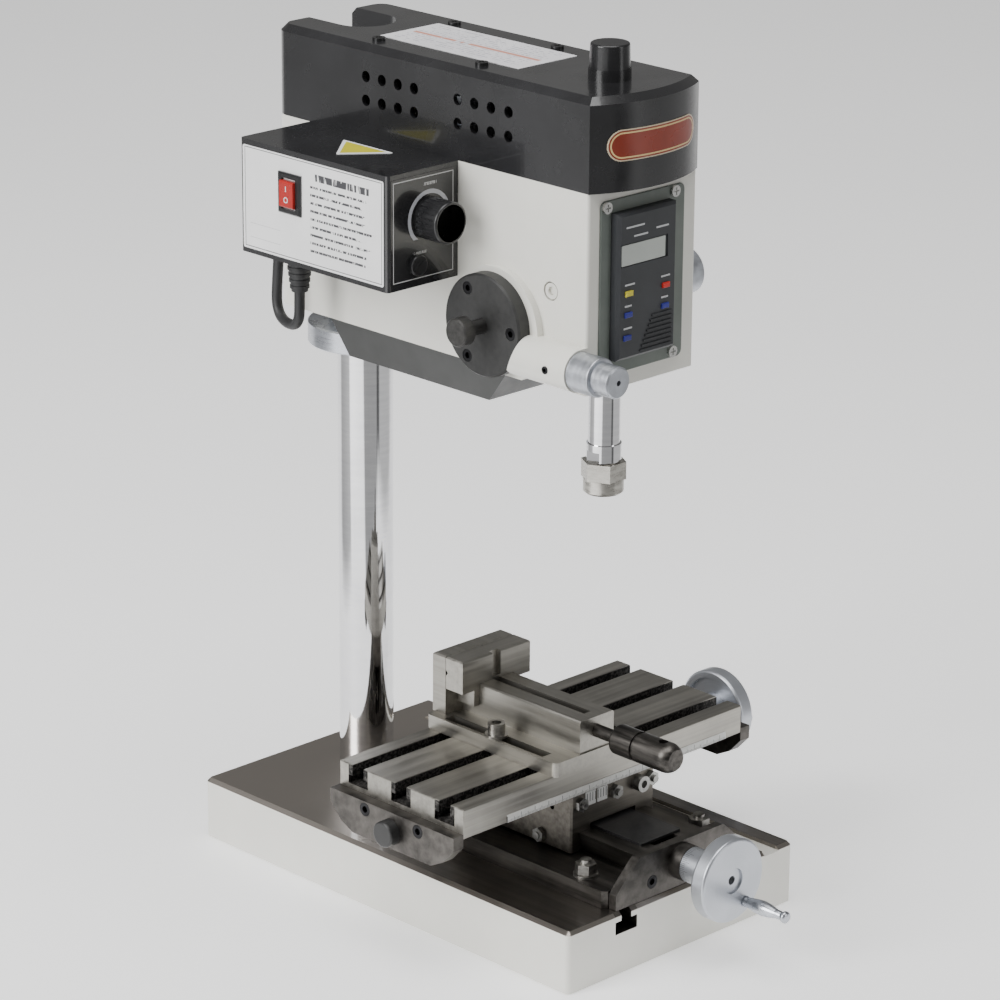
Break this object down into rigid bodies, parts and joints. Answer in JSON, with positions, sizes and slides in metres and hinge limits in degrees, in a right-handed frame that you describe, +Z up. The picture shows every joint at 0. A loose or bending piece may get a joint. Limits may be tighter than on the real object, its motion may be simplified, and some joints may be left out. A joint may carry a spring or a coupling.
{
  "type": "benchtop milling machine",
  "caption": "Small round-column benchtop milling machine with an enamelled head, black belt cover and control box, compound table, screw vise and digital depth gauge",
  "frame": {"origin": "centre of the base casting's underside", "axes": "+X is the operator's right, +Y runs from the front to the back, +Z is up"},
  "size_m": [0.2872, 0.3518, 0.4715],
  "materials": {
    "cast_enamel": "satin",
    "black_gloss": "gloss",
    "cover_black": "gloss",
    "ground_steel": "brushed",
    "dark_steel": "oiled",
    "chrome": "polished",
    "aluminium": "satin",
    "zinc": "plated",
    "black_steel": "satin",
    "black_plastic": "matte",
    "belt_rubber": "matte",
    "frame_green": "satin",
    "gauge_grey": "matte",
    "rocker_red": "gloss",
    "button_yellow": "matte",
    "button_red": "matte",
    "button_blue": "matte",
    "bearing_steel": "ground"
  },
  "bodies": {
    "base": {"base_casting": "cast_enamel", "column": "chrome", "cross_slide_base": "dark_steel", "base_bolts": "zinc", "front_bracket": "dark_steel", "front_bracket_screws": "black_steel", "way_cover": "black_plastic"},
    "lift": {"depth_collar": "chrome"},
    "head": {"head_casting": "cast_enamel", "top_cover": "cover_black", "spindle_cap": "cover_black", "motor_cover": "black_gloss", "motor": "black_gloss", "drive_belt": "belt_rubber", "control_box": "black_gloss", "rocker_bezel": "black_plastic", "fuse_holder": "black_plastic", "cable_glands": "black_plastic", "motor_lead": "black_plastic", "feed_housing_cap": "black_steel", "head_socket_screws": "black_steel", "cross_head_screws": "zinc", "gauge_frame": "frame_green", "gauge_body": "gauge_grey"},
    "head_lock": {"lock_handle": "black_plastic"},
    "quill_slide": {"quill": "chrome", "spindle_bearings": "bearing_steel"},
    "feed_shaft": {"pinion_shaft": "black_steel", "worm_gear": "dark_steel", "feed_lever": "aluminium"},
    "fine_feed": {"fine_feed_knob": "aluminium"},
    "spindle_rotor": {"spindle": "chrome", "collet_nut": "zinc"},
    "spindle_sheave": {"spindle_pulley": "aluminium"},
    "motor_sheave": {"motor_pulley": "aluminium"},
    "saddle_slide": {"saddle": "ground_steel", "gib_strips": "ground_steel", "gib_screws": "zinc", "feed_nuts": "dark_steel"},
    "y_feed": {"y_screw": "ground_steel", "y_handwheel": "aluminium"},
    "y_crank": {"y_handle": "aluminium"},
    "table_slide": {"table": "ground_steel", "table_end_brackets": "dark_steel", "bracket_screws": "black_steel", "screw_end_cap": "black_plastic", "vise_body": "ground_steel", "vise_bolts": "zinc"},
    "x_feed": {"x_screw": "ground_steel", "x_handwheel": "aluminium"},
    "x_crank": {"x_handle": "aluminium"},
    "jaw": {"moving_jaw": "ground_steel"},
    "jaw_screw": {"vise_screw": "dark_steel"},
    "speed_dial": {"speed_knob": "black_steel"},
    "power_rocker": {"rocker": "rocker_red"},
    "key_yellow": {"button_yellow": "button_yellow"},
    "key_red": {"button_red": "button_red"},
    "key_blue_right": {"button_blue_right": "button_blue"},
    "key_blue_left": {"button_blue_left": "button_blue"},
    "key_blue_low": {"button_blue_low": "button_blue"}
  },
  "joints": [
    {"name": "head_lift", "type": "slide", "parent": "base", "child": "lift", "axis": [0, 0, 1], "range_m": [-0.11, 0]},
    {"name": "head_swivel", "type": "hinge", "parent": "lift", "child": "head", "pos_m": [0, 0.1015, 0.301], "axis": [0, 0, 1], "range_deg": [-90, 90]},
    {"name": "head_lock", "type": "hinge", "parent": "head", "child": "head_lock", "pos_m": [0.045, 0.1235, 0.34], "axis": [1, 0, 0], "range_deg": [-25, 25]},
    {"name": "quill_feed", "type": "slide", "parent": "head", "child": "quill_slide", "axis": [0, 0, -1], "range_m": [0, 0.038]},
    {"name": "pinion_turn", "type": "hinge", "parent": "head", "child": "feed_shaft", "pos_m": [0, -0.04, 0.3265], "axis": [1, 0, 0], "range_deg": [-1, 184]},
    {"name": "fine_feed_turn", "type": "hinge", "parent": "head", "child": "fine_feed", "pos_m": [-0.044, -0.04, 0.3153], "axis": [0, -1, 0], "range_deg": [-10, 3700]},
    {"name": "spindle_spin", "type": "hinge", "parent": "quill_slide", "child": "spindle_rotor", "pos_m": [0, -0.0785, 0.3], "axis": [0, 0, 1], "continuous": true},
    {"name": "spindle_pulley_spin", "type": "hinge", "parent": "head", "child": "spindle_sheave", "pos_m": [0, -0.0785, 0.42], "axis": [0, 0, 1], "continuous": true},
    {"name": "motor_pulley_spin", "type": "hinge", "parent": "head", "child": "motor_sheave", "pos_m": [0, 0.02, 0.42], "axis": [0, 0, 1], "continuous": true},
    {"name": "cross_slide", "type": "slide", "parent": "base", "child": "saddle_slide", "axis": [0, 1, 0], "range_m": [-0.02, 0.028]},
    {"name": "y_screw_turn", "type": "hinge", "parent": "base", "child": "y_feed", "pos_m": [0, -0.15, 0.0485], "axis": [0, 1, 0], "range_deg": [-4900, 6800]},
    {"name": "y_crank_spin", "type": "hinge", "parent": "y_feed", "child": "y_crank", "pos_m": [0.0095, -0.17, 0.0343], "axis": [0, 1, 0], "continuous": true},
    {"name": "table_feed", "type": "slide", "parent": "saddle_slide", "child": "table_slide", "axis": [1, 0, 0], "range_m": [-0.06, 0.06]},
    {"name": "x_screw_turn", "type": "hinge", "parent": "table_slide", "child": "x_feed", "pos_m": [0.11, -0.0442, 0.07], "axis": [-1, 0, 0], "range_deg": [-14500, 14500]},
    {"name": "x_crank_spin", "type": "hinge", "parent": "x_feed", "child": "x_crank", "pos_m": [0.13, -0.0382, 0.0541], "axis": [1, 0, 0], "continuous": true},
    {"name": "jaw_travel", "type": "slide", "parent": "table_slide", "child": "jaw", "axis": [0, -1, 0], "range_m": [0, 0.048]},
    {"name": "vise_screw_turn", "type": "hinge", "parent": "jaw", "child": "jaw_screw", "pos_m": [-0.0165, -0.1, 0.11205], "axis": [0, -1, 0], "range_deg": [-10, 11600]},
    {"name": "speed_dial_turn", "type": "hinge", "parent": "head", "child": "speed_dial", "pos_m": [-0.0593, -0.018, 0.379], "axis": [0, -1, 0], "range_deg": [0, 270]},
    {"name": "power_rocker_tilt", "type": "hinge", "parent": "head", "child": "power_rocker", "pos_m": [-0.0865, 0.0619, 0.3824], "axis": [0, 1, 0], "range_deg": [-10, 10]},
    {"name": "key_yellow_press", "type": "slide", "parent": "head", "child": "key_yellow", "axis": [0, 1, 0], "range_m": [0, 0.0008], "stiffness_N_per_m": 400},
    {"name": "key_red_press", "type": "slide", "parent": "head", "child": "key_red", "axis": [0, 1, 0], "range_m": [0, 0.0008], "stiffness_N_per_m": 400},
    {"name": "key_blue_right_press", "type": "slide", "parent": "head", "child": "key_blue_right", "axis": [0, 1, 0], "range_m": [0, 0.0008], "stiffness_N_per_m": 400},
    {"name": "key_blue_left_press", "type": "slide", "parent": "head", "child": "key_blue_left", "axis": [0, 1, 0], "range_m": [0, 0.0008], "stiffness_N_per_m": 400},
    {"name": "key_blue_low_press", "type": "slide", "parent": "head", "child": "key_blue_low", "axis": [0, 1, 0], "range_m": [0, 0.0008], "stiffness_N_per_m": 400}
  ],
  "couplings": [
    {"joint": "pinion_turn", "follows": "quill_feed", "rad_per_m": 83.333},
    {"joint": "fine_feed_turn", "follows": "quill_feed", "rad_per_m": 1666.7},
    {"joint": "spindle_pulley_spin", "follows": "spindle_spin", "ratio": 1},
    {"joint": "motor_pulley_spin", "follows": "spindle_spin", "ratio": 1.905},
    {"joint": "y_screw_turn", "follows": "cross_slide", "rad_per_m": 4188.8},
    {"joint": "x_screw_turn", "follows": "table_feed", "rad_per_m": 4188.8},
    {"joint": "vise_screw_turn", "follows": "jaw_travel", "rad_per_m": 4188.8}
  ]
}
